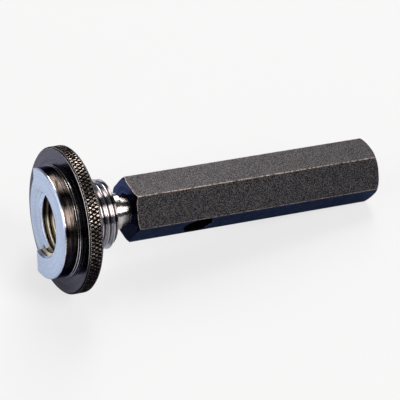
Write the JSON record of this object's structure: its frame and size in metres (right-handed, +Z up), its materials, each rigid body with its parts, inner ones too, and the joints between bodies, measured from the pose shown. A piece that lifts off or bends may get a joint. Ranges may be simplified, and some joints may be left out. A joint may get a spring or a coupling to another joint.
{
  "type": "taper pipe thread gauge",
  "caption": "Knurled, stepped thread ring gauge screwed loosely onto its taper thread plug gauge, whose shank sits in a hexagonal handle.",
  "frame": {"origin": "centre of the bounding box, on the surface that the gauge lies on", "axes": "+X along the length towards the handle's rear end, +Z up; the turning axis descends towards +X"},
  "size_m": [0.1114, 0.044, 0.0441],
  "materials": {
    "blackened_ring": "satin",
    "ground_plug": "polished",
    "blackened_handle": "matte"
  },
  "bodies": {
    "root": {"ring_gauge": "blackened_ring", "plug_gauge": "ground_plug", "handle": "blackened_handle"}
  },
  "joints": []
}
